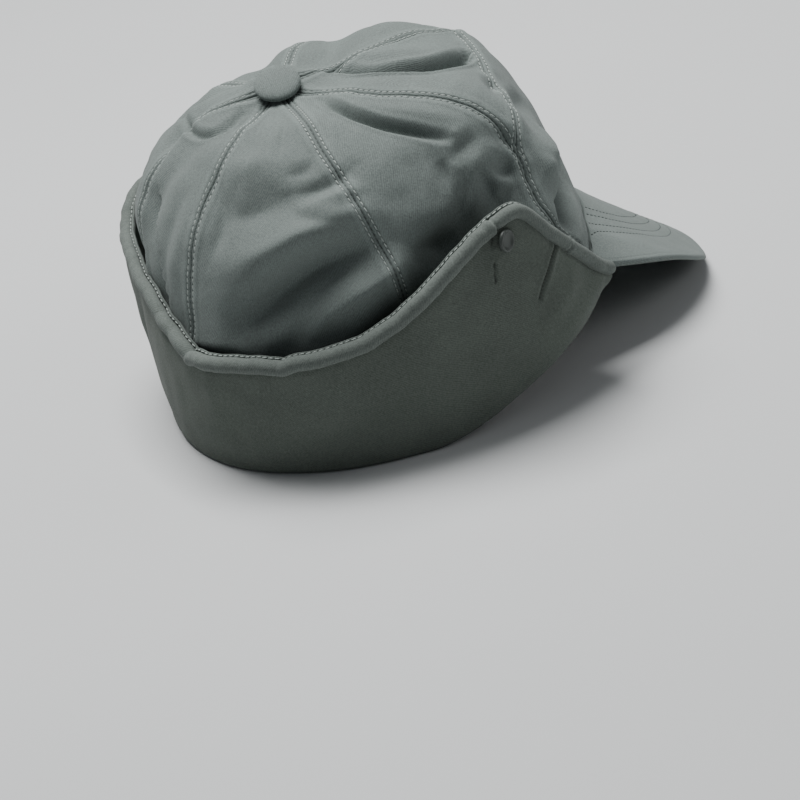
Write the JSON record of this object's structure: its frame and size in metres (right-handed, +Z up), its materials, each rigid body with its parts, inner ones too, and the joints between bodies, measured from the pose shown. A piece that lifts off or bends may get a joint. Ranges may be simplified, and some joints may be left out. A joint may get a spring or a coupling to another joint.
{
  "type": "work cap",
  "caption": "Soft twill work cap with a short drooping peak, a gored crown under a covered button, and a deep ear and neck flap folded up round it.",
  "frame": {"origin": "middle of the plan on the surface that the cap stands on", "axes": "+Z up, -Y out along the peak, -X to the wearer's right"},
  "size_m": [0.2046, 0.2498, 0.1348],
  "materials": {
    "crown_twill": "matt grey-green cotton twill",
    "peak_twill": "matt grey-green cotton twill over a firm core",
    "flap_twill": "matt grey-green cotton twill, two layers",
    "hem_twill": "matt grey-green cotton twill, rolled",
    "button_resin": "dull dark grey-green"
  },
  "bodies": {
    "root": {"crown_gore_front_right": "crown_twill", "crown_gore_side_right": "crown_twill", "crown_gore_rear_right": "crown_twill", "crown_gore_back": "crown_twill", "crown_gore_rear_left": "crown_twill", "crown_gore_side_left": "crown_twill", "crown_gore_front_left": "crown_twill", "crown_front_panel": "crown_twill", "peak": "peak_twill", "ear_flap": "flap_twill", "flap_hem": "hem_twill", "top_button": "crown_twill", "flap_button_right": "button_resin", "flap_button_left": "button_resin"}
  },
  "joints": []
}
